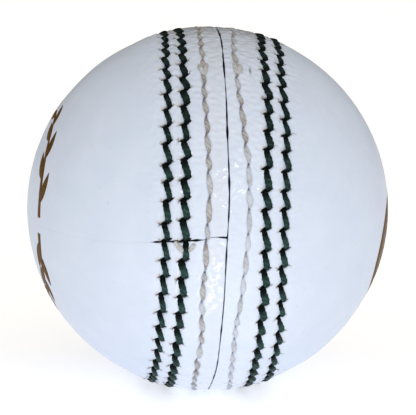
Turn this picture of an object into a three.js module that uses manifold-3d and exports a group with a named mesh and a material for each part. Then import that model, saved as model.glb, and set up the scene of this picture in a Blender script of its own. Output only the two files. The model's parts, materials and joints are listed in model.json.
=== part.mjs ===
// A four-piece cricket ball, in millimetres. The origin is the ball's centre, +X is the axis through its two
// poles, and the main seam lies in the YZ plane. Two cups meet there, each of two leather quarters. The left
// cup (x < 0) has its quarter seam in the plane z = 0, and the right cup in the plane y = 0.
import * as THREE from "three";
import { mergeVertices } from "three/addons/utils/BufferGeometryUtils.js";
import Module from "manifold-3d";

const wasm = await Module();
wasm.setup();

// Driving dimensions.
const BALL_RADIUS = 35.8; // 225 mm round
const SEAM_HEIGHT = 0.6; // the raised band stands this far above the ball: 229 mm round its crest
const LEATHER = 3.0; // thickness of the cover
const LINING = 0.9; // thickness of the split-leather lining
const OUTER_WINDING = 4.8; // thicknesses of the yarn and cork layers, from the outside in
const OUTER_CORK = 3.0;
const MIDDLE_WINDING = 2.9;
const INNER_CORK = 2.8;
const INNER_WINDING = 2.8;
const GAP = 0.3; // between touching pieces

// The three rows of stitches on each cup. A row's place is its arc distance from the middle of the main seam.
const STITCHES = 60; // in one row
const CLOSING_ROW = 3.5;
const INNER_ROW = 7.6;
const OUTER_ROW = 11.1;
const BAND_EDGE = 14.8; // where the raised band has run out into the ball
const THREAD_RADIUS = 0.45;
const STITCH_LEAN = 0.3; // each stitch runs this far either side of its row
const STITCH_SHARE = 0.8; // of the pitch; the rest is the thread's way back to the next hole
const CHANNEL = 1.4; // depth and half width of the V that a row lies in

// The blind stitching that holds a cup's two quarters together, under the leather.
const SEAM_THREAD_RADIUS = 0.4;
const SEAM_THREAD_SHORT = 0.15; // radians that it stops short of the main seam
const SEAM_GROOVE_SHORT = 0.1;

const NEEDLE_RADIUS = 0.8; // the hole that the end of a winding's yarn is drawn through
const COVER_SEGMENTS = 32; // round the ball; both counts divide into quarter turns
const CORE_SEGMENTS = 16;
const QUARTER_TURN = Math.PI / 2;

const X = new THREE.Vector3(1, 0, 0);
const Y = new THREE.Vector3(0, 1, 0);
const Z = new THREE.Vector3(0, 0, 1);

// --- Solids ---

function toSolid(geometry) {
  const bare = geometry.clone();
  bare.deleteAttribute("normal");
  bare.deleteAttribute("uv");
  const merged = mergeVertices(bare, 1e-4);
  return new wasm.Manifold(
    new wasm.Mesh({
      numProp: 3,
      vertProperties: merged.attributes.position.array,
      triVerts: new Uint32Array(merged.index.array),
    }),
  );
}

function toGeometry(solid) {
  const mesh = solid.getMesh();
  const geometry = new THREE.BufferGeometry();
  geometry.setAttribute("position", new THREE.BufferAttribute(mesh.vertProperties, 3));
  geometry.setIndex(new THREE.BufferAttribute(mesh.triVerts, 1));
  geometry.computeVertexNormals();
  return geometry;
}

// A profile turned about the X axis. Its points are (distance from the axis, place along the axis). The
// vertices stand half a step off the planes y = 0 and z = 0, which later cut it.
function turned(profile, segments) {
  const geometry = new THREE.LatheGeometry(profile, segments);
  geometry.rotateY(Math.PI / segments);
  geometry.rotateZ(-QUARTER_TURN);
  return geometry;
}

// Profile points on a circle, in equal steps of latitude. Latitude 0 is the main seam.
function circlePoints(radius, from, to, steps) {
  return Array.from({ length: steps + 1 }, (_, i) => {
    const latitude = THREE.MathUtils.lerp(from, to, i / steps);
    return new THREE.Vector2(radius * Math.cos(latitude), radius * Math.sin(latitude));
  });
}

function ball(radius) {
  return turned(circlePoints(radius, -QUARTER_TURN, QUARTER_TURN, CORE_SEGMENTS / 2), CORE_SEGMENTS);
}

function shell(outer, thickness) {
  return toSolid(ball(outer)).subtract(toSolid(ball(outer - thickness)));
}

// The part of a solid that lies beyond half a gap from the centre along each direction.
function beyond(solid, ...directions) {
  const side = 4 * BALL_RADIUS;
  return directions.reduce((left, direction) => {
    const box = new THREE.BoxGeometry(side, side, side).translate(0, 0, side / 2 + GAP / 2);
    box.applyQuaternion(new THREE.Quaternion().setFromUnitVectors(Z, direction));
    return left.intersect(toSolid(box));
  }, solid);
}

// --- The core: a composition ball, wound and quilted ---

// A winding is a closed shell of yarn, apart from the needle hole where its end is drawn in.
function winding(outer, thickness, way) {
  const hole = new THREE.CylinderGeometry(NEEDLE_RADIUS, NEEDLE_RADIUS, 2 * outer, 8);
  hole.translate(0, outer, 0); // from the centre out, so that it pierces the shell once
  hole.applyQuaternion(new THREE.Quaternion().setFromUnitVectors(Y, way.clone().normalize()));
  return toGeometry(shell(outer, thickness).subtract(toSolid(hole)));
}

// A quarter of a cork layer, as four of them lie round the X axis.
function corkSegment(outer, thickness) {
  return toGeometry(beyond(shell(outer, thickness), Y, Z));
}

// --- The cover, as the right cup before it is turned into place: its quarter seam lies in z = 0 ---

// The lowest that a ball's flat facets come, when its vertices are at a radius.
const lowestFacet = (radius, segments) => radius * Math.cos(Math.PI / segments) ** 2;

const leatherInner = BALL_RADIUS - LEATHER;
const liningOuter = lowestFacet(leatherInner, COVER_SEGMENTS) - GAP / 2;

// The raised band's outline, as [arc distance from the seam, height above the ball].
function bandOutline() {
  const channel = (row) => [
    [row - CHANNEL, SEAM_HEIGHT],
    [row, SEAM_HEIGHT - CHANNEL],
    [row + CHANNEL, SEAM_HEIGHT],
  ];
  const rows = [CLOSING_ROW, INNER_ROW, OUTER_ROW];
  return [[GAP / 2, SEAM_HEIGHT], ...rows.flatMap(channel), [BAND_EDGE, 0]];
}

function leatherCup() {
  const band = bandOutline().map(([arc, height]) => {
    const latitude = arc / BALL_RADIUS;
    const radius = BALL_RADIUS + height;
    return new THREE.Vector2(radius * Math.cos(latitude), radius * Math.sin(latitude));
  });
  const outside = circlePoints(BALL_RADIUS, BAND_EDGE / BALL_RADIUS, QUARTER_TURN, 6).slice(1);
  const insideSteps = COVER_SEGMENTS / 4;
  const inside = circlePoints(leatherInner, QUARTER_TURN, QUARTER_TURN / insideSteps, insideSteps - 1);
  const lip = new THREE.Vector2(leatherInner, GAP / 2);
  return turned([...band, ...outside, ...inside, lip, band[0]], COVER_SEGMENTS);
}

// A half circle in the plane of the quarter seam, round the pole from one end to the other.
class QuarterSeamPath extends THREE.Curve {
  constructor(radius, shortBy) {
    super();
    this.radius = radius;
    this.reach = QUARTER_TURN - shortBy;
  }
  getPoint(t) {
    const angle = THREE.MathUtils.lerp(-this.reach, this.reach, t);
    return new THREE.Vector3(this.radius * Math.cos(angle), this.radius * Math.sin(angle), 0);
  }
}

function seamTube(tubeRadius, shortBy) {
  const sides = 6;
  const corners = Array.from({ length: sides }, (_, i) => {
    const angle = (2 * Math.PI * i) / sides;
    return new THREE.Vector2(tubeRadius * Math.cos(angle), tubeRadius * Math.sin(angle));
  });
  const extrudePath = new QuarterSeamPath(leatherInner + SEAM_THREAD_RADIUS + GAP / 2, shortBy);
  return new THREE.ExtrudeGeometry(new THREE.Shape(corners), { steps: 24, extrudePath });
}

function leatherQuarter() {
  const groove = seamTube(SEAM_THREAD_RADIUS + GAP, SEAM_GROOVE_SHORT);
  return toGeometry(beyond(toSolid(leatherCup()), Z).subtract(toSolid(groove)));
}

// The lining's two pieces meet across the quarter seam, not along it.
function liningPiece() {
  return toGeometry(beyond(shell(liningOuter, LINING), X, Y));
}

// One row of thread round the ball: a ring that leans across its row with each stitch and steps back between
// them. Its square section lies in the channel corner down.
function stitchRow(arc) {
  const latitude = arc / BALL_RADIUS;
  const pitch = (2 * Math.PI) / STITCHES;
  const bends = 2 * STITCHES;
  const ringRadius = BALL_RADIUS + SEAM_HEIGHT - THREAD_RADIUS;
  const geometry = new THREE.TorusGeometry(ringRadius, THREAD_RADIUS, 4, bends);
  const points = geometry.attributes.position;
  const outward = new THREE.Vector2(Math.cos(latitude), Math.sin(latitude));
  const across = new THREE.Vector2(-outward.y, outward.x);
  for (let i = 0; i < points.count; i++) {
    const bend = i % (bends + 1);
    const stitchEnd = bend % 2 === 1;
    const height = Math.hypot(points.getX(i), points.getY(i));
    const aside = points.getZ(i) + (stitchEnd ? STITCH_LEAN : -STITCH_LEAN);
    const place = outward.clone().multiplyScalar(height).addScaledVector(across, aside);
    const turn = (Math.floor(bend / 2) + (stitchEnd ? STITCH_SHARE : 0)) * pitch;
    points.setXYZ(i, place.y, place.x * Math.cos(turn), place.x * Math.sin(turn));
  }
  return geometry;
}

// --- Materials and the assembly ---

const finish = (color, roughness) => new THREE.MeshStandardMaterial({ color, roughness, metalness: 0 });
const whiteLeather = finish(0xdfe5ee, 0.3);
const splitLeather = finish(0xb98e62, 0.85);
const greenThread = finish(0x16382d, 0.55);
const creamThread = finish(0xcfc9be, 0.6);
const woolYarn = finish(0xd9c7a4, 0.95);
const cork = finish(0xb07f4c, 0.9);
const composition = finish(0x4a3527, 0.8);

function add(group, name, geometry, material) {
  const mesh = new THREE.Mesh(geometry, material);
  mesh.name = name;
  group.add(mesh);
  return mesh;
}

// From the outside in. Each layer starts a gap below the one outside it, and the inner layer's joints are
// staggered an eighth of a turn from the outer layer's.
function core() {
  const group = new THREE.Group();
  let radius = liningOuter - LINING - GAP;

  function addWinding(name, thickness, way) {
    add(group, name, winding(radius, thickness, way), woolYarn);
    radius -= thickness + GAP;
  }

  function addCork(name, thickness, stagger) {
    const segment = corkSegment(radius, thickness);
    for (let i = 0; i < 4; i++) {
      add(group, `${name}_${i + 1}`, segment, cork).rotation.x = i * QUARTER_TURN + stagger;
    }
    radius -= thickness + GAP;
  }

  addWinding("outer_winding", OUTER_WINDING, new THREE.Vector3(-2, -1, 2));
  addCork("outer_cork_segment", OUTER_CORK, 0);
  addWinding("middle_winding", MIDDLE_WINDING, new THREE.Vector3(2, -2, -1));
  addCork("inner_cork_segment", INNER_CORK, QUARTER_TURN / 2);
  addWinding("inner_winding", INNER_WINDING, new THREE.Vector3(1, 2, 2));
  add(group, "composition_core", ball(radius), composition);
  return group;
}

const quarter = leatherQuarter();
const lining = liningPiece();
const quarterSeamThread = seamTube(SEAM_THREAD_RADIUS, SEAM_THREAD_SHORT);
const rows = [
  ["closing_stitches", stitchRow(CLOSING_ROW), creamThread],
  ["inner_stitches", stitchRow(INNER_ROW), greenThread],
  ["outer_stitches", stitchRow(OUTER_ROW), greenThread],
];

function cup(side, leatherNames, liningNames) {
  const group = new THREE.Group();
  for (const half of [0, 1]) {
    add(group, `leather_${side}_${leatherNames[half]}`, quarter, whiteLeather).rotation.x = half * Math.PI;
    add(group, `lining_${side}_${liningNames[half]}`, lining, splitLeather).rotation.x = half * Math.PI;
  }
  add(group, `quarter_seam_thread_${side}`, quarterSeamThread, creamThread);
  for (const [name, row, thread] of rows) {
    add(group, `${name}_${side}`, row, thread);
  }
  return group;
}

const leftCup = cup("left", ["upper", "lower"], ["front", "back"]);
leftCup.rotation.z = Math.PI;
const rightCup = cup("right", ["front", "back"], ["upper", "lower"]);
rightCup.rotation.x = QUARTER_TURN;

const cricketBall = new THREE.Group();
cricketBall.add(core(), leftCup, rightCup);

export default cricketBall;
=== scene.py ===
"""The looks of a four-piece cricket ball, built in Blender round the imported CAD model, in metres.

Most of it is laid out on a map of the ball's surface. A point of the map has three numbers: its arc, the
distance from the middle of the main seam, positive towards +X; its turn, the angle round the X axis from the
front (-Y), positive upwards; and its height above the ball.
"""

import json
import math

import bmesh
import bpy
import numpy as np
from mathutils import Matrix, Vector


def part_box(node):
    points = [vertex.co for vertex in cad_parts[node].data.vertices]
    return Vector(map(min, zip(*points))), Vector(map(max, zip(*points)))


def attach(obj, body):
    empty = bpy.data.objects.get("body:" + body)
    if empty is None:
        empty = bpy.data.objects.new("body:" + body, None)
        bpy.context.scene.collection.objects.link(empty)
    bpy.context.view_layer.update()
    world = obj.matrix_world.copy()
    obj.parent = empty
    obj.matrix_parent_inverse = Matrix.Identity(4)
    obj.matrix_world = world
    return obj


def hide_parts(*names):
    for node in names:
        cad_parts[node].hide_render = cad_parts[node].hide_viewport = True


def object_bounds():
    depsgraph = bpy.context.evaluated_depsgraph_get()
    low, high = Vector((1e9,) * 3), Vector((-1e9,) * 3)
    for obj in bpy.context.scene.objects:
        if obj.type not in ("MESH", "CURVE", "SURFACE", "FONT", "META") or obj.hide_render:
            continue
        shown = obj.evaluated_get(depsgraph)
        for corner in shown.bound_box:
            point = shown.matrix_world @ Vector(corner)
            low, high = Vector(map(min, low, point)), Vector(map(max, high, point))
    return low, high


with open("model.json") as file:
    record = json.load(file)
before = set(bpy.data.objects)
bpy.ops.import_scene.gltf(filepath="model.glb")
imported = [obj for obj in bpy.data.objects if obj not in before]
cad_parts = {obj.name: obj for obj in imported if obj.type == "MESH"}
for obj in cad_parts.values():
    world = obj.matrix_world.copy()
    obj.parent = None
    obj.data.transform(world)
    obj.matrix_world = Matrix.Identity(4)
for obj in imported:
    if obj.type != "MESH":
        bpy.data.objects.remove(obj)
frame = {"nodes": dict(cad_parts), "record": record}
cad_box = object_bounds()

MM = 0.001
TAU = 2 * math.pi

# --- Sizes taken from the frame ---

BALL = -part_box("leather_left_upper")[0].x
COVER_INSIDE = -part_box("lining_left_front")[0].x + 0.3 * MM
POLE_ARC = BALL * math.pi / 2


def row_arc(node):
    """A row's place: its arc from the middle of the main seam, towards +X."""
    low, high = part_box(node)
    return BALL * math.asin((low.x + high.x) / 2 / BALL)


# --- Driving dimensions of the looks ---

STITCHES = 60  # in each row, as in the CAD rows
SEWING_SHIFT = -0.10 * MM  # all six rows lie a little to the left of the parting line
CREST = 0.24 * MM  # how far the leather between the rows stands above the ball
BAND_FLAT = 11.4 * MM  # arc where the raised band starts to run out
BAND_EDGE = 17.4 * MM  # and where it has run out
LIP_ROUND = 0.22 * MM  # rounding of the leather's edge at the main seam
QUARTER_ROUND = 0.12 * MM  # and at a quarter seam, in the stitched band
PARTING_GAP = 0.085 * MM  # half the dark line between the two cups


# --- Small numeric helpers ---

def smooth(x):
    """0 to 1 with a flat start and end."""
    x = np.clip(x, 0, 1)
    return x * x * (3 - 2 * x)


def on_ball(arc, turn, height):
    """Points of the map, in the frame."""
    along_axis = (BALL + height) * np.sin(arc / BALL)
    from_axis = (BALL + height) * np.cos(arc / BALL)
    return np.stack([along_axis, -from_axis * np.cos(turn), from_axis * np.sin(turn)], axis=-1)


def towards_arc(arc, turn):
    """The unit vector along which arc grows."""
    inwards = np.sin(arc / BALL)
    return np.stack([np.cos(arc / BALL), inwards * np.cos(turn), -inwards * np.sin(turn)], axis=-1)


def towards_turn(turn):
    """The unit vector along which turn grows."""
    return np.stack([np.zeros_like(turn), np.sin(turn), np.cos(turn)], axis=-1)


def unit(vectors):
    """The vectors, made 1 long."""
    return vectors / np.linalg.norm(vectors, axis=-1, keepdims=True)


def ripples(points, wavelength, seed, waves=14):
    """A smooth random field over space, of unit spread, made of sine waves in random directions."""
    rng = np.random.default_rng(seed)
    directions = unit(rng.normal(size=(waves, 3))) * rng.uniform(0.7, 1.4, (waves, 1))
    phases = rng.uniform(0, TAU, waves)
    total = np.zeros(points.shape[:-1])
    for direction, phase in zip(directions, phases):
        total += np.sin(points @ (direction * TAU / wavelength) + phase)
    return total * math.sqrt(2 / waves)


def round_ripples(turn, seed, waves=(2, 3, 5, 7, 11)):
    """A smooth random function of the turn that closes on itself, of about unit spread."""
    rng = np.random.default_rng(seed)
    total = np.zeros_like(turn)
    for wave in waves:
        total += rng.normal() * np.sin(wave * turn + rng.uniform(0, TAU))
    return total / math.sqrt(len(waves) / 2)


def bell(x, width):
    """A smooth bump, 1 at x = 0."""
    return np.exp(-((x / width) ** 2))


def spot(x, y, place):
    """A smooth bump on a plane, 1 at its centre. place is its centre and its width in x and y, in mm."""
    (centre_x, centre_y), (width_x, width_y) = place
    return bell(x - centre_x * MM, width_x * MM) * bell(y - centre_y * MM, width_y * MM)


def turned(turn, start):
    """How far turn is from start, between half a turn back and half a turn on."""
    return (turn - start + math.pi) % TAU - math.pi


# --- The rows of stitches ---

BEND_SPAN = 0.45  # radians of turn over which a row bends aside and back
PARTING_BENDS = [(0.4, 92)]  # the parting line's own
LONG_STITCH = 1.38  # times the usual length: a closing row's first stitch, which spans the quarter seam


def bent_aside(turn, bends):
    """How far bends push a row or the parting line aside. Each is how far in mm, and its turn in degrees."""
    return sum(aside * MM * bell(turned(turn, math.radians(peak)), BEND_SPAN) for aside, peak in bends)


class Row:
    """One row's holes in the leather. Stitch i runs from hole i to hole i + 1, downwards at the front.

    first_turn is hole 0's turn in degrees. bends are where the row bends aside, as bent_aside takes them.
    pushed is how far, in mm, the first stitch's start is pushed aside by the quarter thread's tail under it.
    """

    def __init__(self, node, first_turn, seed, bends, closing=False, pushed=0.0):
        rng = np.random.default_rng(seed)
        self.node = node
        self.seed = seed
        self.closing = closing
        self.bends = bends
        self.pushed = pushed * MM
        self.arc = row_arc(node) + SEWING_SHIFT
        # The closing rows are sewn last, by hand, and are the less even ones.
        self.wander = (0.12 if closing else 0.07) * MM
        uneven_length = 0.13 if closing else 0.06
        uneven_place = (0.13 if closing else 0.07) * MM
        lengths = np.ones(STITCHES)
        lengths[0] = LONG_STITCH if closing else 1.0
        lengths *= TAU / lengths.sum()
        self.turns = math.radians(first_turn) - np.cumsum(lengths) + lengths[0]
        self.turns[1:] += rng.normal(0, uneven_length * TAU / STITCHES, STITCHES - 1)
        self.arcs = self.centre(self.turns) + rng.normal(0, uneven_place, STITCHES)

    def centre(self, turn):
        """The arc of the row's middle."""
        return self.arc + self.wander * round_ripples(turn, self.seed) + bent_aside(turn, self.bends)

    def place(self, turn):
        """How far along the row a turn is, counted in stitches from hole 0, from 0 to STITCHES."""
        start = self.turns[0]
        around = (start - np.asarray(turn)) % TAU
        holes = np.append(start - self.turns, TAU)
        return np.interp(around, holes, np.arange(STITCHES + 1))

    def between_holes(self, turn):
        """0 at a hole and 1 halfway along a stitch."""
        return 0.5 - 0.5 * np.cos(TAU * self.place(turn))

    def from_nearest_hole(self, arc, turn):
        """How far points are from the nearest hole: across the row, and down along it."""
        nearest = np.round(self.place(turn)).astype(int) % STITCHES
        across = arc - self.arcs[nearest]
        return across, -turned(turn, self.turns[nearest]) * BALL * np.cos(arc / BALL)


ROWS = {
    row.node: row
    for row in (
        Row("outer_stitches_left", -0.9, 11, [(1.4, 92), (0.25, 46)]),
        Row("inner_stitches_left", -0.6, 12, [(0.6, 92), (0.15, 46), (-0.25, 4)], pushed=0.7),
        Row("closing_stitches_left", 4.2, 13, [(0.5, 92), (-0.35, 62), (1.3, -85)], closing=True),
        Row(
            "closing_stitches_right",
            1.6,
            14,
            [(0.4, 92), (-1.0, 58), (0.5, 4), (-0.9, -30), (1.2, -85)],
            closing=True,
        ),
        Row("inner_stitches_right", 3.1, 15, [(1.4, 92), (0.2, 44), (-0.5, 2), (0.2, -75)]),
        Row("outer_stitches_right", 3.0, 16, [(0.95, 92), (0.1, 44), (-0.5, 0), (0.4, -40), (0.5, -85)]),
    )
}

# --- The leather's relief ---

# The leather's unevenness: how high its waves are, and how long.
SWELL = (0.030 * MM, 14 * MM)
GRAIN = (0.006 * MM, 2.6 * MM)
BAND_GRAIN = 0.008 * MM  # how much higher the grain is in the stitched band
WRINKLES = (0.023 * MM, 2.2 * MM)  # in the band
WRINKLE_SQUEEZE = np.array([1, 2.2, 2.2])  # they are longer across the band than along it
HAMMERED = (0.015 * MM, 1.3 * MM)  # the strips beside the parting line
HAMMERED_WIDTH = 2.6 * MM
THIN_PAINT = (-1.8 * MM, 1.3 * MM, 0.11)  # arc, width and share of the strip where the paint is thinner
KNOT_TURN = math.radians(55.5)  # where the two closing threads are tied off
NICK = (4.9 * MM, math.radians(55.1))  # a small cut in the right cup, beside the knot
NICK_SIZE = (0.20 * MM, 0.9 * MM)
NICK_DEPTH = 0.15 * MM

# A green row lies in a channel, with a slanting slit at each hole.
CHANNEL_DEPTH = 0.40 * MM
CHANNEL_WIDTH = 0.80 * MM
SLIT_TILT = math.radians(20)  # the right end of each slit is the higher one
SLIT_LENGTH = 1.30 * MM  # half of it
SLIT_WIDTH = 0.40 * MM  # half of it, at its middle
SLIT_DEPTH = 1.0 * MM
# Spots round a slit. Each is its centre and its width, along the slit and aside from it, in mm.
PUCKER = ((0, 0), (1.5, 0.7))
PUCKER_DEPTH = 0.10 * MM
SLIT_LIP = ((0.9, 0.55), (0.5, 0.28))  # one at each corner
SLIT_LIP_HEIGHT = 0.07 * MM
LEFT_TIP = ((-0.95, -0.30), (0.36, 0.40))  # where the torn leather shows raw
RIGHT_TIP = ((1.12, 0.10), (0.18, 0.22))
LEFT_RAW = 0.78
RIGHT_RAW = 0.35

# A closing row is folded into the leather, which opens like an eye along each stitch.
CLOSING_DEPTH = 0.36 * MM
CLOSING_WIDTH = 0.50 * MM
EYE = ((-0.12, 0.2), (0.21, 0.85))  # the sunken corner at each hole, painted with shade: a spot across and down the row, in mm
EYE_LEAN = 0.15
EYE_DEPTH = 0.35 * MM
FOLD = (0.75 * MM, 0.4 * MM, 0.05 * MM)  # beside a hole: how far from the row, how wide and how high
KNOT_MOUND = (1.6 * MM, 0.05, 0.10 * MM)  # its width in arc and in turn, and its height


def slit_axes(across, down):
    """Coordinates along and across a slit, from its middle."""
    along = across * math.cos(SLIT_TILT) - down * math.sin(SLIT_TILT)
    aside = across * math.sin(SLIT_TILT) + down * math.cos(SLIT_TILT)
    return along, aside


def closing_relief(row, arc, turn):
    """What a closing row does to the leather: the height it adds, and the painted shade in its eyes."""
    offset = arc - row.centre(turn)
    between = row.between_holes(turn)
    across, down = row.from_nearest_hole(arc, turn)
    eye = spot(across + EYE_LEAN * down, down, EYE)
    away, fold_width, fold_height = FOLD
    mound_width, mound_turn, mound_height = KNOT_MOUND
    height = -CLOSING_DEPTH * (0.55 + 0.45 * between) * bell(offset, CLOSING_WIDTH * (0.45 + 0.65 * between))
    height = height - EYE_DEPTH * eye
    height = height + fold_height * bell(np.abs(offset) - away, fold_width) * (1 - between)
    height = height + mound_height * bell(offset, mound_width) * bell(turned(turn, KNOT_TURN), mound_turn)
    # The eye's darkness is painted shade.
    return height, 0.9 * smooth(1.25 * eye - 0.1)


def green_relief(row, arc, turn):
    """What a green row does to the leather: the height it adds, the painted shade in its slits, and how raw
    it makes it.
    """
    offset = arc - row.centre(turn)
    along, aside = slit_axes(*row.from_nearest_hole(arc, turn))
    taper = np.clip(1 - (along / SLIT_LENGTH) ** 2, 0, 1)
    opening = np.clip(1 - (aside / (SLIT_WIDTH * taper + 1e-9)) ** 2, 0, 1)
    height = -CHANNEL_DEPTH * (1 - 0.2 * row.between_holes(turn)) * bell(offset, CHANNEL_WIDTH)
    height = height - SLIT_DEPTH * opening * np.sqrt(taper)
    height = height - PUCKER_DEPTH * spot(along, aside, PUCKER)
    height = height + SLIT_LIP_HEIGHT * spot(np.abs(along), np.abs(aside), SLIT_LIP)
    raw = LEFT_RAW * spot(along, aside, LEFT_TIP) + RIGHT_RAW * spot(along, aside, RIGHT_TIP)
    # The slit's darkness is painted shade; raw is the torn leather's own colour.
    return height, np.sqrt(opening), raw


def relief(arc, turn):
    """The leather's height over the map, its painted shade (darkening that stands for shade in slits, eyes
    and the nick) and how raw (unpainted) it is there.

    All the points lie on the same cup.
    """
    points = on_ball(arc, turn, 0.0)
    band = 1 - smooth((np.abs(arc) - BAND_FLAT) / (BAND_EDGE - BAND_FLAT))
    puckered = 1 + 0.3 * bell(turned(turn, KNOT_TURN), 0.6)  # more so where the sewing was finished off
    wrinkles = ripples(points * WRINKLE_SQUEEZE, WRINKLES[1], 3)
    height = CREST * band
    height = height + SWELL[0] * ripples(points, SWELL[1], 1)
    height = height + (GRAIN[0] + BAND_GRAIN * band) * ripples(points, GRAIN[1], 2)
    height = height + WRINKLES[0] * band * puckered * wrinkles
    height = height + HAMMERED[0] * bell(arc, HAMMERED_WIDTH) * ripples(points, HAMMERED[1], 4)
    # Painted shade, from 0 to 1: how far the leather's colour is darkened to stand for shade.
    painted_shade = np.zeros_like(height)
    raw = THIN_PAINT[2] * bell(arc - THIN_PAINT[0], THIN_PAINT[1])
    for row in ROWS.values():
        if np.sign(row.arc) != np.sign(arc.flat[arc.size // 2]):
            continue
        if row.closing:
            added, row_shade = closing_relief(row, arc, turn)
        else:
            added, row_shade, row_raw = green_relief(row, arc, turn)
            raw = np.maximum(raw, row_raw)
        height = height + added
        painted_shade = np.maximum(painted_shade, row_shade)
    # The nick is sunk, and darkened as painted shade.
    nick = bell(arc - NICK[0], NICK_SIZE[0]) * bell(turned(turn, NICK[1]) * BALL, NICK_SIZE[1])
    return height - NICK_DEPTH * nick, np.maximum(painted_shade, 0.85 * nick), raw


# --- Mesh building ---

def build(name, points, faces, material, attributes=None, closed=True):
    """A smooth-shaded mesh object whose faces point outwards."""
    mesh = bpy.data.meshes.new(name)
    mesh.from_pydata(np.asarray(points).reshape(-1, 3).tolist(), [], faces)
    for label, values in (attributes or {}).items():
        layer = mesh.attributes.new(label, "FLOAT", "POINT")
        layer.data.foreach_set("value", np.asarray(values, np.float32).ravel())
    if closed:
        shape = bmesh.new()
        shape.from_mesh(mesh)
        bmesh.ops.recalc_face_normals(shape, faces=shape.faces)
        shape.to_mesh(mesh)
        shape.free()
    mesh.polygons.foreach_set("use_smooth", [True] * len(mesh.polygons))
    mesh.materials.append(material)
    piece = bpy.data.objects.new(name, mesh)
    bpy.context.scene.collection.objects.link(piece)
    return piece


def join_chains(a, b, a_share, b_share):
    """Triangles between two chains of vertex numbers, given how far along its length each vertex is."""
    faces = []
    i = j = 0
    while i < len(a) - 1 or j < len(b) - 1:
        if j == len(b) - 1 or (i < len(a) - 1 and a_share[i + 1] <= b_share[j + 1]):
            faces.append((a[i], a[i + 1], b[j]))
            i += 1
        else:
            faces.append((a[i], b[j + 1], b[j]))
            j += 1
    return faces


def join_even(a, b):
    """Faces between two chains whose vertices are evenly spread."""
    if len(a) == len(b):
        return [(a[i], a[i + 1], b[i + 1], b[i]) for i in range(len(a) - 1)]
    return join_chains(a, b, np.linspace(0, 1, len(a)), np.linspace(0, 1, len(b)))


# --- The leather quarters ---

EDGE_STEPS = np.array([0, 0.04, 0.09, 0.15, 0.25, 0.42, 0.65]) * MM  # of the grid, from a quarter seam
LIP_STEPS = [0, 0.05, 0.11, 0.18, 0.26, 0.35, 0.45]  # mm, of the grid, from the main seam
FINE_STEP = 0.15  # mm, through the stitched band
COARSE_STEP = 1.1  # mm, the widest, on the smooth caps
FINE_COLUMNS = 640  # round half the ball at the seam
FEW_COLUMNS = 40  # near the pole
FINE_REACH = 13.4  # mm of arc that the fine grid covers
# Where lacquer has partly filled the parting line: turn and spread in degrees, and the share filled.
FILLED = ((48, 3.5, 0.7), (-14, 2, 0.5), (-8, 1.5, 0.5), (-45, 38, 0.5), (137, 4, 0.7))
LIP_SHIFT_REACH = 1.2 * MM  # how far from the main seam the grid follows the parting line's wander
INNER_RINGS = 14  # of the leather's inside
CUT_DEPTH = 0.3 * MM  # how far down a cut edge the painted shade reaches full strength
EDGE_SHADE_REACH = 0.10 * MM  # how far from a cut edge the painted shade reaches onto the outside
GLOSS_FULL = 6 * MM  # arc up to which the lacquer is thick
GLOSS_NONE = 12 * MM  # and where there is none


def ring_plan():
    """Arcs of the grid's rings from the main seam to near the pole, and the columns in each."""
    arcs = list(LIP_STEPS)
    columns = [FINE_COLUMNS] * len(arcs)
    step = FINE_STEP
    end = POLE_ARC / MM - 0.5
    while arcs[-1] + step < end:
        arcs.append(arcs[-1] + step)
        if arcs[-1] > FINE_REACH:
            step = min(step * 1.12, COARSE_STEP)
        halvings = 0 if step < 0.32 else 1 if step < 0.6 else 2
        if POLE_ARC / MM - arcs[-1] < 16:
            halvings = 3
        if POLE_ARC / MM - arcs[-1] < 6:
            halvings = 4
        columns.append(max(FINE_COLUMNS >> halvings, FEW_COLUMNS))
    arcs.append(POLE_ARC / MM - 0.2)
    columns.append(FEW_COLUMNS)
    return np.array(arcs) * MM, columns


def parting_gap(turn):
    """Half the gap between the cups, at the main seam."""
    ragged = round_ripples(turn, 21, (9, 17)) + round_ripples(turn, 22, (29, 47, 71))
    gap = PARTING_GAP * (1 + 0.25 * ragged)
    for place, spread, filled in FILLED:
        gap = gap * (1 - filled * bell(turned(turn, math.radians(place)), math.radians(spread)))
    return np.clip(gap, 0.012 * MM, None)


def parting_wander(turn):
    """How far the parting line lies to one side of the seam's middle."""
    return 0.08 * MM * round_ripples(turn, 22, (3, 4, 7, 12)) + bent_aside(turn, PARTING_BENDS)


QUARTER_OPEN = [0.2 * MM, 5.9 * MM, 9.6 * MM, 12.4 * MM]  # arcs where a quarter seam gapes, between the rows
WIDEST_ANGLE_SINE = 0.95  # keeps a quarter's edge strip within its ring, close to the pole


def in_band(arc):
    """1 in the stitched band, and 0 beyond it, where a quarter seam is pressed shut."""
    return 1 - smooth((np.abs(arc) - 11.8 * MM) / (2.2 * MM))


def quarter_gap(arc):
    """Half the gap at a quarter seam."""
    open_share = sum(bell(np.abs(arc) - place, 1.15 * MM) for place in QUARTER_OPEN)
    ragged = 1 + 0.30 * np.sin(arc / (0.31 * MM))
    return 0.001 * MM + 0.180 * MM * open_share * ragged


def quarter_wander(side, arc, end):
    """How far a quarter seam lies to one side. end is 0 for its first half, at start, and 1 for the other."""
    waves = 0.12 * MM * np.sin(arc / (2.1 * MM) + 1.3 * end) * (1 - smooth(arc / (16 * MM)))
    drift = (-1.9 if (side, end) == (-1, 0) else 0.7) * MM
    jog = 0.45 * MM * (1 - smooth((arc - 2.4 * MM) / (1.8 * MM)))  # where the closing thread crosses it
    return waves + jog + drift * smooth(arc / (26 * MM)) * smooth((POLE_ARC - arc) / (12 * MM))


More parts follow.
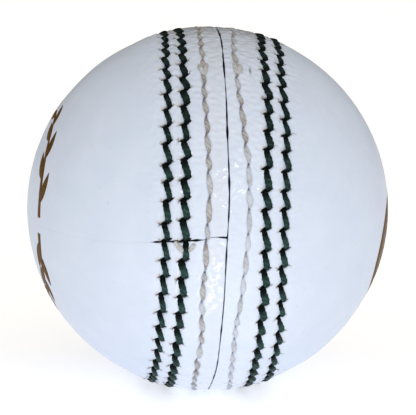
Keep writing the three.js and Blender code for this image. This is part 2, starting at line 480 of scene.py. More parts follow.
def half_cup(side, start, hand, plan):
    """A grid over one quarter. Returns arc, turn, the distance to its edges, faces and boundary chains.

    start is the turn at its first edge. hand is +1 or -1, which way the quarter lies from its quarter seam.
    """
    ends = (0, 1) if hand > 0 else (1, 0)
    arcs, turns, to_lip, to_quarter = [], [], [], []
    rings = []
    count = 0
    for base, columns in zip(*plan):
        edge = EDGE_STEPS if columns > 60 else EDGE_STEPS[::3]
        ring_radius = BALL * math.cos(base / BALL)
        gaps = [quarter_gap(side * base) + hand * quarter_wander(side, base, end) for end in ends]
        first = np.arcsin(np.minimum((gaps[0] + edge) / ring_radius, WIDEST_ANGLE_SINE))
        last = math.pi - np.arcsin(np.minimum((gaps[1] + edge) / ring_radius, WIDEST_ANGLE_SINE))
        inner = np.linspace(first[-1], last[-1], columns + 1)[1:-1]
        turn = start + np.concatenate([first, inner, last[::-1]])
        away = np.concatenate([edge, np.full(columns - 1, edge[-1] * 2), edge[::-1]])
        slack = 1 - smooth(base / LIP_SHIFT_REACH)
        arc = side * (base + parting_gap(turn) * slack) + parting_wander(turn) * slack
        rings.append(list(range(count, count + len(turn))))
        count += len(turn)
        arcs.append(arc)
        turns.append(turn)
        to_lip.append(np.full(len(turn), base))
        to_quarter.append(away)
    # The pole's vertex lies beside the quarter seam, halfway between its two ends.
    arcs.append(np.array([side * (POLE_ARC - 0.03 * MM)]))
    turns.append(np.array([start + math.pi / 2]))
    to_lip.append(np.array([POLE_ARC]))
    to_quarter.append(np.array([0.0]))
    pole = count
    faces = []
    for lower, upper in zip(rings, rings[1:]):
        faces += join_even(lower, upper)
    faces += [(rings[-1][i], rings[-1][i + 1], pole) for i in range(len(rings[-1]) - 1)]
    seam_chain = rings[0][::-1]
    quarter_chain = [ring[0] for ring in rings] + [pole] + [ring[-1] for ring in rings[::-1]]
    joined = [np.concatenate(parts) for parts in (arcs, turns, to_lip, to_quarter)]
    return (*joined, faces, quarter_chain, seam_chain)


def rounding(distance, radius):
    """How far a rounded edge has dropped at a distance from it."""
    inside = np.clip(1 - distance / radius, 0, 1)
    return radius * (1 - np.sqrt(1 - inside ** 2)) * 0.8


def shares(points, chain):
    """How far along a chain of vertices each one is, from 0 to 1."""
    lengths = np.linalg.norm(np.diff(points[chain], axis=0), axis=1)
    return np.concatenate([[0], np.cumsum(lengths)]) / lengths.sum()


def leather_quarter(name, side, start, hand, material):
    """A quarter of the cover, with its outside, cut edges and inside. name is the CAD node it replaces."""
    arc, turn, to_lip, to_quarter, faces, quarter_chain, seam_chain = half_cup(side, start, hand, ring_plan())
    height, painted_shade, raw = relief(arc, turn)
    height = height - rounding(to_lip, LIP_ROUND)
    height = height - rounding(to_quarter, QUARTER_ROUND * (0.15 + 0.85 * in_band(arc)))
    # Painted shade along the cut edges: at the main seam, and at a quarter seam mostly in the stitched band.
    painted_shade = np.maximum(painted_shade, 0.9 * smooth(1 - to_lip / EDGE_SHADE_REACH))
    painted_shade = np.maximum(painted_shade, (0.02 + 0.88 * in_band(arc)) * smooth(1 - to_quarter / EDGE_SHADE_REACH))
    outside = on_ball(arc, turn, height)

    inner_arcs = np.append(np.linspace(0.12 * MM, POLE_ARC - 3 * MM, INNER_RINGS), POLE_ARC - 0.8 * MM)
    inner_plan = (inner_arcs, [FEW_COLUMNS] * len(inner_arcs))
    inner = half_cup(side, start, hand, inner_plan)
    inside = on_ball(inner[0], inner[1], COVER_INSIDE - BALL)

    # The cut edges go down from the outside's edge, first to a line a little below it, where the painted
    # shade is full.
    loop = quarter_chain + seam_chain[1:-1]
    below = on_ball(arc[loop], turn[loop], height[loop] - CUT_DEPTH)
    below_start = len(outside)
    inside_start = below_start + len(loop)
    below_loop = list(range(below_start, inside_start))
    size = len(loop)
    for i in range(size):
        j = (i + 1) % size
        faces.append((loop[i], loop[j], below_loop[j], below_loop[i]))

    points = np.concatenate([outside, below, inside])
    inner_faces = [tuple(inside_start + v for v in face[::-1]) for face in inner[4]]
    corner = len(quarter_chain) - 1
    below_chains = (below_loop[: corner + 1], below_loop[corner:] + [below_loop[0]])
    for below_chain, inner_chain in zip(below_chains, (inner[5], inner[6])):
        inner_chain = [inside_start + v for v in inner_chain]
        shares_below, shares_inner = shares(points, below_chain), shares(points, inner_chain)
        faces += join_chains(below_chain, inner_chain, shares_below, shares_inner)
    faces += inner_faces
    # Painted shade: full on the cut edges below the outside, and partial on the inside.
    painted_shade = np.concatenate([painted_shade, np.ones(len(below)), np.full(len(inside), 0.3)])
    raw = np.concatenate([raw, np.zeros(len(below)), np.ones(len(inside))])
    gloss = 1 - smooth((np.abs(arc) - GLOSS_FULL) / (GLOSS_NONE - GLOSS_FULL))
    gloss = np.concatenate([gloss, np.zeros(len(below) + len(inside))])
    looks = {"painted_shade": painted_shade, "raw": raw, "gloss": gloss}
    piece = build(name.replace("leather", "cover"), points, faces, material, looks)
    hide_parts(name)
    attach(piece, "root")


# --- The threads ---

GREEN_SECTION = (0.69 * MM, 0.37 * MM)  # half width and half thickness of the flattened thread
CREAM_SECTION = (0.50 * MM, 0.34 * MM)
OUTER_NARROWER = 0.84  # the outer rows' threads are pulled tighter, and so narrower
THREAD_SIDES = 18
THREAD_RINGS = 22
HAIR_SIDES = 5
HAIR_RINGS = 6
PLIES = 3
PLY_TURN = 3.0 * MM  # of thread for one full turn of its plies
TOP_SHADE = (math.radians(24), math.radians(150))  # turns round the top of the ball where the threads are darkened: painted shade on the green ones, less lacquer on the cream ones
TOP_SHADE_FADE = 0.9  # radians over which that begins and ends
LEFT_PAINTED = (0.0, 0.7)  # how much lacquer a stitch may have, from the least to the most
RIGHT_PAINTED = (0.5, 1.2)
ENDS_PAINTED = 0.25  # the same for the knots and the tail


def tubes(centre, across, half_width, half_thickness, sides=THREAD_SIDES, twist=0.10):
    """Closed tubes along several paths at once. centre is paths x rings x 3, and rings lie along across.

    Returns points, faces and how deep in a groove between two plies each point lies, from 0 to 1.
    """
    paths, rings = centre.shape[:2]
    tangent = unit(np.gradient(centre, axis=1))
    sideways = unit(across)
    outward = unit(np.cross(tangent, sideways))
    steps = np.linalg.norm(np.diff(centre, axis=1), axis=2)
    length = np.concatenate([np.zeros((paths, 1)), np.cumsum(steps, axis=1)], axis=1)[..., None]
    angle = np.linspace(0, TAU, sides, endpoint=False)[None, None, :]
    strand = PLIES * (angle + TAU * length / PLY_TURN)
    groove = (0.5 + 0.5 * np.cos(strand)) ** 3
    swell = 1 - twist * groove
    points = (
        centre[:, :, None, :]
        + sideways[:, :, None, :] * (half_width[..., None] * np.cos(angle) * swell)[..., None]
        + outward[:, :, None, :] * (half_thickness[..., None] * np.sin(angle) * swell)[..., None]
    )
    number = np.arange(paths * rings * sides).reshape(paths, rings, sides)
    after = np.roll(number, -1, axis=2)
    quads = np.stack([number[:, :-1], after[:, :-1], after[:, 1:], number[:, 1:]], axis=-1).reshape(-1, 4)
    faces = quads.tolist()
    faces += number[:, 0, ::-1].tolist()
    faces += number[:, -1].tolist()
    return points.reshape(-1, 3), faces, groove


def closing_profile(t):
    """A closing stitch's height, girth and painted light, darker towards both holes as painted shade, from
    its first hole (t = 0) to its last (t = 1).
    """
    dive = 0.62 * smooth((0.16 - t) / 0.16) + 0.75 * smooth((t - 0.86) / 0.14)
    rise = (0.18 * np.sin(math.pi * t) - 0.10 - dive) * MM
    girth = 0.50 + 0.50 * np.sin(math.pi * np.clip(t * 0.92 + 0.06, 0, 1))
    light = 0.10 + 0.90 * np.sin(math.pi * t) ** 1.5
    return rise, girth, light


def green_profile(t):
    """The same for a green stitch, which lies flat and dives steeply at its ends."""
    dive_in = np.clip((0.20 - t) / 0.20, 0, 1) ** 1.6
    dive_out = np.clip((t - 0.90) / 0.10, 0, 1) ** 1.5
    rise = (-0.10 + 0.20 * smooth((t - 0.1) / 0.7) - 0.75 * dive_in - 0.95 * dive_out) * MM
    girth = 1.0 + 0.06 * smooth((0.22 - t) / 0.22) - 0.10 * smooth((t - 0.80) / 0.20)
    # Painted shade: dark where the stitch comes out of its first hole, and again where it dives into the
    # next.
    light = smooth((t - 0.24) / 0.40) * (1 - 0.9 * smooth((t - 0.80) / 0.12))
    return rise, girth, light


def shaded_at_top(turn):
    """1 round the top of the ball, between the two turns given for it, fading to 0 elsewhere: where the
    threads are darkened as painted shade.
    """
    return smooth(0.5 + turned(turn, TOP_SHADE[0]) / TOP_SHADE_FADE) * smooth(0.5 + turned(TOP_SHADE[1], turn) / TOP_SHADE_FADE)


def thread_row(row, name, material, slot):
    """Every stitch of a row, each diving into its two holes."""
    rng = np.random.default_rng(row.seed + 100)
    section = CREAM_SECTION if row.closing else GREEN_SECTION
    narrower = OUTER_NARROWER if name.startswith("outer") else 1.0
    lean = (0.20 if row.closing else 0.42) * MM  # each stitch slants this far either side of its row
    uneven_width = 0.14 if row.closing else 0.05
    t = np.linspace(0, 1, THREAD_RINGS)[None, :]
    start_turn, start_arc = row.turns[:, None], row.arcs[:, None]
    span = (start_turn - np.roll(start_turn, -1)) % TAU
    end_arc = np.roll(start_arc, -1)
    start_arc = start_arc.copy()
    start_arc[0] += row.pushed
    spread = rng.normal(0, 1, (3, STITCHES, 1))
    # The path goes a little past both holes, so that each end lies under or over its neighbour.
    turn = start_turn - span * (-0.02 + 1.03 * t)
    slant = lean * (1 + 0.14 * spread[0]) * (2 * smooth(t * 1.15) - 1)
    arc = start_arc + (end_arc - start_arc) * t + slant
    rise, girth, light = closing_profile(t) if row.closing else green_profile(t)
    centre = on_ball(arc, turn, rise + 0.03 * MM * spread[1])
    across = towards_arc(arc, turn)
    if not row.closing:
        across = across * math.cos(SLIT_TILT) + towards_turn(turn) * math.sin(SLIT_TILT)
    widths = section[0] * girth * (1 + uneven_width * spread[2]) * narrower
    thicknesses = section[1] * girth * np.ones_like(widths)
    points, faces, groove = tubes(centre, across, widths, thicknesses, twist=0.20)
    lot = rng.uniform(0, 1, (STITCHES, 1, 1))
    # Painted shade where the stitch dives into its holes and in the grooves between its plies, over a random
    # lightness for each stitch.
    tone_and_shade = light[..., None] * (0.20 + 0.25 * lot + 0.55 * (1 - groove))
    # Painted shade: the green stitches are darker round the top of the ball; the cream ones get less lacquer
    # there.
    deep = shaded_at_top(start_turn)[..., None]
    if not row.closing:
        tone_and_shade = tone_and_shade * (1 - 0.62 * deep)
    painted = LEFT_PAINTED if row.arc < 0 else RIGHT_PAINTED
    paint = (rng.uniform(*painted, (STITCHES, 1, 1)) - 0.7 * deep) * np.ones_like(tone_and_shade)
    piece = build(name, points, faces, material, {"tone_and_shade": tone_and_shade, "paint": paint})
    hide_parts(row.node)
    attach(piece, "root")


def fibres(name, rows, per_tip, material):
    """Short hairs of thread and torn leather at the slits' tips, on average per_tip at each left tip."""
    rng = np.random.default_rng(41)
    t = np.linspace(0, 1, HAIR_RINGS)[None, :]
    centres, thickness = [], []
    for row in rows:
        for tip, chance in ((-1, per_tip), (1, per_tip * 0.45)):
            hole = np.repeat(np.arange(STITCHES), rng.poisson(chance, STITCHES))
            size = (len(hole), 1)
            reach = SLIT_LENGTH * rng.uniform(0.70, 0.95, size) * tip
            begin_across = reach * math.cos(SLIT_TILT)
            begin_down = -reach * math.sin(SLIT_TILT) + rng.normal(0, 0.10, size) * MM
            heading = rng.normal(0.5 if tip < 0 else -0.2, 0.8, size)
            length = rng.uniform(0.30, 0.80, size) * MM
            curl = rng.normal(0, 0.5, size)
            sweep = heading + curl * t
            across = begin_across + tip * length * t * np.cos(sweep)
            down = begin_down - length * t * np.sin(sweep)
            arc = row.arcs[hole][:, None] + across
            turn = row.turns[hole][:, None] - down / (BALL * np.cos(row.arc / BALL))
            ground = relief(arc, turn)[0]
            lift = rng.uniform(0.03, 0.45, size) * MM * t * (1.6 - t)
            centres.append(on_ball(arc, turn, np.maximum(ground, -0.25 * MM) + 0.03 * MM + lift))
            thickness.append(rng.uniform(0.028, 0.055, size) * MM * (1 - 0.6 * t))
    centre = np.concatenate(centres)
    radius = np.concatenate(thickness)
    across = np.cross(np.gradient(centre, axis=1), centre)
    points, faces, _ = tubes(centre, across, radius, radius, sides=HAIR_SIDES, twist=0)
    piece = build(name, points, faces, material, {"tone_and_shade": rng.uniform(0, 1, len(points))})
    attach(piece, "root")


def thread_ends(name, paths, material):
    """Short ends of cream thread on the leather. Each path is its arcs, turns, lifts and half width."""
    t = np.linspace(0, 1, 18)
    stops = np.linspace(0, 1, 3)
    centres, widths = [], []
    for arcs, turns, lifts, half_width in paths:
        bend = [np.polyval(np.polyfit(stops, values, 2), t) for values in (arcs, turns, lifts)]
        centres.append(on_ball(bend[0], bend[1], bend[2]))
        widths.append(half_width * (0.25 + 0.75 * np.sin(math.pi * np.clip(t * 0.9 + 0.05, 0, 1)) ** 0.6))
    centre, width = np.array(centres), np.array(widths)
    across = np.cross(np.gradient(centre, axis=1), centre)
    points, faces, groove = tubes(centre, across, width, width * 0.8, twist=0.12)
    # Painted shade in the grooves between the plies.
    looks = {"tone_and_shade": 0.9 - 0.4 * groove, "paint": np.full(len(points), ENDS_PAINTED)}
    piece = build(name, points, faces, material, looks)
    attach(piece, "root")


def knot(name, row, lobes, material):
    """A closing thread's tied end: lobes that rise out of the row.

    Each lobe is its start and end, as how far across and down from the knot, and its half width, in mm.
    """
    here = row.centre(KNOT_TURN)
    paths = []
    for (start_across, start_down), (end_across, end_down), half_width in lobes:
        arcs = here + np.array([start_across, (start_across + end_across) * 0.5 * 1.15, end_across]) * MM
        turns = KNOT_TURN - np.array([start_down, (start_down + end_down) / 2, end_down]) * MM / BALL
        paths.append((arcs, turns, np.array([-0.10, 0.42, -0.10]) * MM, half_width * MM))
    thread_ends(name, paths, material)


# --- Gold foil: plain ornament pressed into the leather round both poles ---
# It is drawn on a flat map of the cap: along is towards the front, up is upwards, both from the pole.

FOIL_LANES = 5  # vertices across a strip
FOIL_TOP = 0.020 * MM  # above the leather
FOIL_BOTTOM = -0.05 * MM
WREATH = (12.7 * MM, 20.0 * MM)  # half its width and half its height, on the cap's map
SPRIGS = ((-1, 78), (-10, -62), (181, 102), (190, 242))  # degrees round the wreath, from root to tip
LEAVES = 6  # on each sprig
RING_CENTRE = (4.5 * MM, -5.6 * MM)  # on the other cap's map
RINGS = ((10.0, 1.4), (7.5, 0.7), (5.6, 0.5))  # mm, the radius of each ring's middle and half its width
RING_STATIONS = 220


def ribbon(along, up, half_width, side):
    """A closed strip of foil along a path on a cap's map."""
    lanes = np.linspace(-1, 1, FOIL_LANES)
    path = np.stack([along, up], axis=-1)
    tangent = unit(np.gradient(path, axis=0))
    normal = np.stack([-tangent[:, 1], tangent[:, 0]], axis=-1)
    spots = path[:, None, :] + normal[:, None, :] * (half_width[:, None] * lanes)[..., None]
    arc = side * (POLE_ARC - np.hypot(spots[..., 0], spots[..., 1]))
    turn = np.arctan2(spots[..., 1], spots[..., 0])
    height = relief(arc, turn)[0]
    stations = len(along)
    top = on_ball(arc, turn, height + FOIL_TOP)
    bottom = on_ball(arc, turn, height + FOIL_BOTTOM)
    points = np.concatenate([top.reshape(-1, 3), bottom.reshape(-1, 3)])
    number = np.arange(stations * FOIL_LANES).reshape(stations, FOIL_LANES)
    under = number + number.size
    last_lane = FOIL_LANES - 1
    faces = []
    for i in range(stations - 1):
        for j in range(last_lane):
            faces.append((number[i, j], number[i, j + 1], number[i + 1, j + 1], number[i + 1, j]))
            faces.append((under[i, j], under[i + 1, j], under[i + 1, j + 1], under[i, j + 1]))
        for j in (0, last_lane):
            faces.append((number[i, j], number[i + 1, j], under[i + 1, j], under[i, j]))
    for i in (0, stations - 1):
        for j in range(last_lane):
            faces.append((number[i, j], number[i, j + 1], under[i, j + 1], under[i, j]))
    return points, [tuple(int(v) for v in face) for face in faces]


def foil(name, strips, side, material):
    """One piece of foil made of strips, on the cap at side: -1 is the left, and 1 the right."""
    points, faces = [], []
    count = 0
    for along, up, half_width in strips:
        more, found = ribbon(along, up, half_width, side)
        points.append(more)
        faces += [tuple(v + count for v in face) for face in found]
        count += len(more)
    piece = build(name, np.concatenate(points), faces, material)
    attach(piece, "root")


def sprig(first, last):
    """A bent stem with a leaf on each side in turn, on the wreath's oval between two angles in degrees."""
    angle = np.radians(np.linspace(first, last, 60))
    share = np.linspace(0, 1, 60)
    strips = [(WREATH[0] * np.cos(angle), WREATH[1] * np.sin(angle), (0.70 - 0.40 * share) * MM)]
    t = np.linspace(0, 1, 16)
    for i in range(LEAVES):
        place = (i + 0.6) / LEAVES
        root = math.radians(first + (last - first) * place)
        heading = math.atan2(WREATH[1] * math.cos(root), -WREATH[0] * math.sin(root))
        heading += 0 if last > first else math.pi
        heading += (0.50 if i % 2 else -0.50) * (1 - 0.3 * t)
        length = (7.0 - 2.4 * place) * MM
        along = WREATH[0] * math.cos(root) + length * t * np.cos(heading)
        up = WREATH[1] * math.sin(root) + length * t * np.sin(heading)
        strips.append((along, up, (0.04 + 1.20 * np.sin(math.pi * t) ** 0.8 * (1 - 0.35 * t)) * MM))
    return strips


def ring(centre, radius, half_width):
    """The strip of one ring, on the cap's map."""
    angle = np.linspace(-math.pi, math.pi, RING_STATIONS)
    along = centre[0] + radius * np.cos(angle)
    up = centre[1] + radius * np.sin(angle)
    return along, up, np.full(RING_STATIONS, half_width)


# --- Materials ---

def new_material(name):
    """A material, its node tree and its shader."""
    material = bpy.data.materials.new(name)
    material.use_nodes = True
    tree = material.node_tree
    return material, tree, tree.nodes["Principled BSDF"]


def fill(tree, made, **values):
    """Sets a node's properties and sockets, given under their names. An output is linked to its socket."""
    for key, value in values.items():
        socket = made.inputs.get(key.replace("_", " "))
        if not socket:
            setattr(made, key, value)
        elif isinstance(value, bpy.types.NodeSocket):
            tree.links.new(value, socket)
        else:
            socket.default_value = value
    return made


def node(tree, kind, **values):
    return fill(tree, tree.nodes.new(kind), **values)


def mapped(tree):
    """Object coordinates in millimetres."""
    place = node(tree, "ShaderNodeTexCoord").outputs["Object"]
    return node(tree, "ShaderNodeMapping", Vector=place, Scale=(1 / MM, 1 / MM, 1 / MM)).outputs["Vector"]


def noise(tree, vector, size, detail=3.0, roughness=0.55):
    """Noise whose features are about size millimetres across."""
    look = {"Scale": 1 / size, "Detail": detail, "Roughness": roughness}
    return node(tree, "ShaderNodeTexNoise", Vector=vector, **look).outputs["Fac"]


def ramp(tree, value, stops):
    """A colour for each value. Each stop is a value and its colour, in rising order."""
    made = node(tree, "ShaderNodeValToRGB", Fac=value)
    elements = made.color_ramp.elements
    for element, (place, colour) in zip(elements, (stops[0], stops[-1])):
        element.position = place
        element.color = (*colour, 1)
    for place, colour in stops[1:-1]:
        elements.new(place).color = (*colour, 1)
    return made.outputs["Color"]


def grey(value):
    return (value, value, value)


def mix(tree, share, a, b):
    """Colour a where share is 0, and b where it is 1."""
    made = node(tree, "ShaderNodeMix", data_type="RGBA")
    tree.links.new(share, made.inputs[0])
    for index, value in ((6, a), (7, b)):
        if isinstance(value, tuple):
            made.inputs[index].default_value = (*value, 1)
        else:
            tree.links.new(value, made.inputs[index])
    return made.outputs[2]


def attribute(tree, name):
    """The value stored under a name at each vertex."""
    return node(tree, "ShaderNodeAttribute", attribute_name=name).outputs["Fac"]


def maths(tree, operation, a, b):
    """A sum or product of two outputs, or of an output and a number."""
    made = node(tree, "ShaderNodeMath", operation=operation)
    for index, value in ((0, a), (1, b)):
        if isinstance(value, (int, float)):
            made.inputs[index].default_value = value
        else:
            tree.links.new(value, made.inputs[index])
    return made.outputs[0]


def bump(tree, shader, height, distance, strength):
    """Makes a shader's surface look uneven, with a height of 1 standing distance metres proud."""
    made = node(tree, "ShaderNodeBump", Height=height, Strength=strength, Distance=distance)
    fill(tree, shader, Normal=made.outputs["Normal"])


def white_leather():
    material, tree, shader = new_material("white_leather")
    place = mapped(tree)
    mottle = noise(tree, place, 5.0, detail=4)
    paint = ramp(tree, mottle, [(0.3, (0.600, 0.678, 0.812)), (0.7, (0.640, 0.708, 0.838))])
    specks = ramp(tree, noise(tree, place, 0.9, detail=2), [(0.70, grey(0)), (0.75, grey(0.35))])
    paint = mix(tree, specks, paint, (0.50, 0.52, 0.58))
    with_raw = mix(tree, attribute(tree, "raw"), paint, (0.56, 0.49, 0.41))
    # Painted shade: near-black in the slits and eyes, down the seams' gaps and cut edges, in the nick, and
    # partly on the inside.
    colour = mix(tree, attribute(tree, "painted_shade"), with_raw, (0.012, 0.007, 0.008))
    rough = ramp(tree, noise(tree, place, 1.6), [(0.3, grey(0.40)), (0.7, grey(0.50))])
    fill(tree, shader, Base_Color=colour, Roughness=rough, Specular_IOR_Level=0.20)
    fill(tree, shader, Coat_Weight=attribute(tree, "gloss"), Coat_Roughness=0.05)
    pores = noise(tree, place, 0.55, detail=5, roughness=0.6)
    creases = noise(tree, place, 2.2, detail=2)
    bump(tree, shader, maths(tree, "ADD", pores, creases), 0.012 * MM, 0.6)
    return material


def thread_material(name, deep, light, glint, roughness, gloss, sheen, lacquer=None):
    """Waxed thread. deep and light are its shaded and lit colours, painted in and out of the holes, under
    painted glints and lacquer.
    """
    material, tree, shader = new_material(name)
    place = mapped(tree)
    hairs = noise(tree, place, 0.16, detail=3)
    tone_and_shade = attribute(tree, "tone_and_shade")
    value = maths(tree, "ADD", maths(tree, "MULTIPLY", hairs, 0.40), maths(tree, "MULTIPLY", tone_and_shade, 0.60))
    # Painted shade: the shaded colour where the stored tone and shade is low, the lit one where it is high.
    colour = ramp(tree, value, [(0.20, deep), (0.75, light)])
    # Painted highlights: small light flecks that stand for glints on the wax, strongest where the thread is
    # painted lit.
    painted_glints = ramp(tree, noise(tree, place, 0.32, detail=1), [(0.60, grey(0)), (0.72, grey(1))])
    colour = mix(tree, maths(tree, "MULTIPLY", painted_glints, tone_and_shade), colour, glint)
    if lacquer:
        paint = maths(tree, "MULTIPLY", attribute(tree, "paint"), 0.5)
        patches = maths(tree, "ADD", noise(tree, place, 0.9, detail=2), paint)
        covered = ramp(tree, patches, [(0.50, grey(0)), (1.00, grey(0.75))])
        colour = mix(tree, covered, colour, lacquer)
    rough = ramp(tree, hairs, [(0.3, grey(roughness)), (0.7, grey(roughness + 0.2))])
    fill(tree, shader, Base_Color=colour, Roughness=rough, Specular_IOR_Level=gloss)
    fill(tree, shader, Sheen_Weight=sheen, Sheen_Roughness=0.5)
    bump(tree, shader, noise(tree, place, 0.12, detail=4), 0.05 * MM, 0.7)
    return material


def grain_material(name, size, stops, roughness, depth):
    """Cork, split leather or moulded granules: cells size mm across, over finer noise."""
    material, tree, shader = new_material(name)
    place = mapped(tree)
    cells = node(tree, "ShaderNodeTexVoronoi", Vector=place, Scale=1 / size)
    coarse = maths(tree, "MULTIPLY", cells.outputs["Distance"], 0.6)
    fine = maths(tree, "MULTIPLY", noise(tree, place, size * 0.4), 0.5)
    value = maths(tree, "ADD", coarse, fine)
    fill(tree, shader, Base_Color=ramp(tree, value, stops), Roughness=roughness)
    bump(tree, shader, value, depth, 0.8)
    return material


def yarn_material():
    """Wound wool: lays of yarn that run aslant."""
    material, tree, shader = new_material("wool_yarn")
    aslant = node(tree, "ShaderNodeMapping", Vector=mapped(tree), Rotation=(0.7, 0.5, 0.3))
    lays = node(tree, "ShaderNodeTexWave", Vector=aslant.outputs["Vector"], wave_type="BANDS")
    fill(tree, lays, Scale=0.35, Distortion=6.0, Detail=2.0)
    colour = ramp(tree, lays.outputs["Fac"], [(0.1, (0.32, 0.23, 0.12)), (0.9, (0.70, 0.58, 0.38))])
    fill(tree, shader, Base_Color=colour, Roughness=0.95)
    bump(tree, shader, lays.outputs["Fac"], 0.3 * MM, 0.8)
    return material


def gold_material():
    material, tree, shader = new_material("gold_foil")
    place = mapped(tree)
    worn = noise(tree, place, 0.8, detail=4)
    colour = ramp(tree, worn, [(0.35, (0.075, 0.036, 0.003)), (0.65, (0.150, 0.078, 0.008))])
    rough = ramp(tree, worn, [(0.3, grey(0.35)), (0.7, grey(0.55))])
    fill(tree, shader, Base_Color=colour, Roughness=rough, Metallic=0.3)
    fill(tree, shader, Specular_IOR_Level=0.15, Specular_Tint=(0.42, 0.24, 0.07, 1))
    bump(tree, shader, noise(tree, place, 0.4), 0.03 * MM, 0.6)
    return material


leather = white_leather()
green = thread_material(
    "green_thread",
    deep=(0.0005, 0.0020, 0.0018),
    light=(0.027, 0.062, 0.057),
    glint=(0.07, 0.17, 0.16),
    roughness=0.28,
    gloss=0.05,
    sheen=0.0,
)
cream = thread_material(
    "cream_thread",
    deep=(0.12, 0.088, 0.075),
    light=(0.45, 0.440, 0.428),
    glint=(0.55, 0.55, 0.54),
    roughness=0.5,
    gloss=0.3,
    sheen=0.1,
    lacquer=(0.58, 0.64, 0.74),
)
gold = gold_material()
cork_stops = [(0.2, (0.16, 0.08, 0.03)), (0.7, (0.50, 0.28, 0.12))]
cork = grain_material("cork", 1.4, cork_stops, roughness=0.85, depth=0.2 * MM)
composition_stops = [(0.2, (0.015, 0.010, 0.008)), (0.8, (0.20, 0.11, 0.05))]
composition = grain_material("composition", 1.0, composition_stops, roughness=0.7, depth=0.2 * MM)
split_stops = [(0.2, (0.30, 0.16, 0.07)), (0.8, (0.60, 0.40, 0.22))]
split = grain_material("split_leather", 0.5, split_stops, roughness=0.9, depth=0.1 * MM)
yarn = yarn_material()


# --- The pieces ---

leather_quarter("leather_left_upper", side=-1, start=0, hand=1, material=leather)
leather_quarter("leather_left_lower", side=-1, start=math.pi, hand=-1, material=leather)
leather_quarter("leather_right_front", side=1, start=-math.pi / 2, hand=1, material=leather)
leather_quarter("leather_right_back", side=1, start=math.pi / 2, hand=-1, material=leather)

for row_name, row in ROWS.items():
    thread = (cream, "cream_thread") if row.closing else (green, "green_thread")
    thread_row(row, row_name.replace("stitches", "thread"), *thread)

green_rows = [row for row in ROWS.values() if not row.closing]
fibres("loose_fibres_left", [row for row in green_rows if row.arc < 0], 2.6, cream)
fibres("loose_fibres_right", [row for row in green_rows if row.arc > 0], 2.0, cream)

LEFT_KNOT = (((-0.75, -1.5), (0.05, 2.2), 0.50), ((0.70, -1.6), (0.15, 2.0), 0.50))
RIGHT_KNOT = (((-0.40, -2.0), (-0.10, 1.6), 0.50), ((0.62, -1.5), (0.30, 1.9), 0.60))
knot("knot_left", ROWS["closing_stitches_left"], LEFT_KNOT, cream)
knot("knot_right", ROWS["closing_stitches_right"], RIGHT_KNOT, cream)

# The tail comes out of the quarter seam, dips under the inner left row and comes up beyond it.
TAIL_ARCS = np.array([-9.4, -7.6, -5.9]) * MM
TAIL_TURNS = np.radians([-0.9, -3.9, -1.4])
TAIL_LIFTS = np.array([0.50, -0.22, 0.45]) * MM
TAIL_HALF_WIDTH = 0.60 * MM
tail = (TAIL_ARCS, TAIL_TURNS, TAIL_LIFTS, TAIL_HALF_WIDTH)
thread_ends("quarter_thread_tail", [tail], cream)

wreath_strips = [strip for first, last in SPRIGS for strip in sprig(first, last)]
foil("foil_wreath_left", wreath_strips, -1, gold)
ring_strips = [ring(RING_CENTRE, radius * MM, half_width * MM) for radius, half_width in RINGS]
foil("foil_rings_right", ring_strips, 1, gold)

# What lies under the cover keeps its CAD shape.
INSIDE = {
    "wool_yarn": yarn,
    "cork": cork,
    "composition": composition,
    "split_leather": split,
    "cream_thread": cream,
}
slots = {part["node"]: part["material_slot"] for part in frame["record"]["subparts"]}
for node_name, cad_node in frame["nodes"].items():
    if slots[node_name] in INSIDE and not cad_node.hide_render:
        cad_node.data.materials.clear()
        cad_node.data.materials.append(INSIDE[slots[node_name]])

# --- Stage, light and camera ---

CAMERA_AZIMUTH = math.radians(-6.1)
CAMERA_ELEVATION = math.radians(9.0)
CAMERA_ROLL = math.radians(1.9)
CAMERA_RADII = 10  # the camera's distance from the centre, in radii of the ball
OUTLINE_SHARE = 0.868  # of the picture's width that the ball's outline fills
FRAME_SHIFT = (0.0013, 0.0021)  # of the picture's width, from the ball's middle to the picture's
FLOOR_HALF_SIDE = 4.0
FLOOR_LEVEL = cad_box[0].z
FLOOR_GLOW = 0.46  # it glows a little, like a light table
LIT_FROM = Vector((0.03, -0.99, 0.04)).normalized()  # where the studio is brightest
STUDIO_STRENGTH = 1.24


def way_out(azimuth, elevation):
    """The unit vector out from the ball, at an azimuth from the front, towards +X, and an elevation."""
    level = math.cos(elevation)
    return Vector((math.sin(azimuth) * level, -math.cos(azimuth) * level, math.sin(elevation)))


def add_floor():
    material, tree, shader = new_material("floor")
    patches = noise(tree, mapped(tree), 30.0)
    shade = ramp(tree, patches, [(0.3, (0.92, 0.93, 0.97)), (0.7, (0.94, 0.95, 0.98))])
    fill(tree, shader, Base_Color=shade, Roughness=0.9)
    fill(tree, shader, Emission_Color=(1, 1, 1, 1), Emission_Strength=FLOOR_GLOW)
    signs = ((-1, -1), (1, -1), (1, 1), (-1, 1))
    corners = [(x * FLOOR_HALF_SIDE, y * FLOOR_HALF_SIDE, FLOOR_LEVEL) for x, y in signs]
    floor = build("floor", corners, [(0, 1, 2, 3)], material, closed=False)


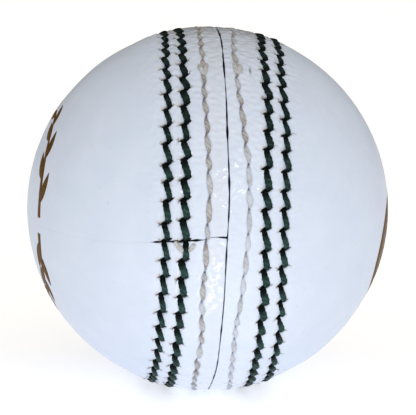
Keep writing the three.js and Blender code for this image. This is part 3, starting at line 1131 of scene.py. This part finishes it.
def add_world():
    """A bright, soft studio that is brightest in front."""
    world = bpy.data.worlds.new("studio")
    world.use_nodes = True
    tree = world.node_tree
    coordinates = node(tree, "ShaderNodeTexCoord")
    towards = node(tree, "ShaderNodeVectorMath", operation="DOT_PRODUCT")
    towards.inputs[1].default_value = LIT_FROM
    tree.links.new(coordinates.outputs["Generated"], towards.inputs[0])
    share = maths(tree, "ADD", maths(tree, "MULTIPLY", towards.outputs["Value"], 0.5), 0.5)
    behind, sideways, in_front = (0.04, 0.02, 0.0), (0.515, 0.478, 0.415), (1.0, 1.0, 1.0)
    sky = ramp(tree, share, [(0.0, behind), (0.5, sideways), (1.0, in_front)])
    fill(tree, tree.nodes["Background"], Color=sky, Strength=STUDIO_STRENGTH)
    bpy.context.scene.world = world


def add_lamp(name, shape, energy, width, length=None):
    """An area light, not yet placed. A disk has no length."""
    lamp = bpy.data.lights.new(name, "AREA")
    lamp.shape = shape
    lamp.size = width
    if length:
        lamp.size_y = length
    lamp.energy = energy
    holder = bpy.data.objects.new(name, lamp)
    bpy.context.scene.collection.objects.link(holder)
    return holder


def add_key():
    """A small lamp above the camera's right shoulder."""
    back = way_out(math.radians(12), math.radians(25))
    key = add_lamp("key", "DISK", energy=0.14, width=0.05)
    key.location = back * 0.6
    key.rotation_mode = "QUATERNION"
    key.rotation_quaternion = (-back).to_track_quat("-Z", "Y")


def add_low_lights():
    """Two narrow lamps low in front of the ball: a strip that lies on the floor, and a panel that stands."""
    strip = add_lamp("low_strip", "RECTANGLE", energy=0.009, width=0.005, length=0.10)
    strip.location = (-0.004, -0.10, FLOOR_LEVEL + 1 * MM)
    strip.rotation_euler = (math.pi, 0, 0)
    panel = add_lamp("low_front", "RECTANGLE", energy=0.006, width=0.008, length=0.026)
    panel.location = (-0.004, -0.16, FLOOR_LEVEL + 14 * MM)
    panel.rotation_euler = (math.pi / 2, 0, math.pi)


def add_camera():
    data = bpy.data.cameras.new("camera")
    data.sensor_width = 36
    outline = math.tan(math.asin(1 / CAMERA_RADII))
    data.lens = data.sensor_width / 2 * OUTLINE_SHARE / outline
    camera = bpy.data.objects.new("camera", data)
    back = way_out(CAMERA_AZIMUTH, CAMERA_ELEVATION)
    turn = (-back).to_track_quat("-Z", "Y").to_matrix() @ Matrix.Rotation(CAMERA_ROLL, 3, "Z")
    camera.matrix_world = Matrix.Translation(back * BALL * CAMERA_RADII) @ turn.to_4x4()
    data.clip_start = 1 * MM
    data.shift_x, data.shift_y = FRAME_SHIFT
    bpy.context.scene.collection.objects.link(camera)
    bpy.context.scene.camera = camera


add_floor()
add_world()
add_key()
add_low_lights()
add_camera()
bpy.context.scene.view_settings.view_transform = "Standard"
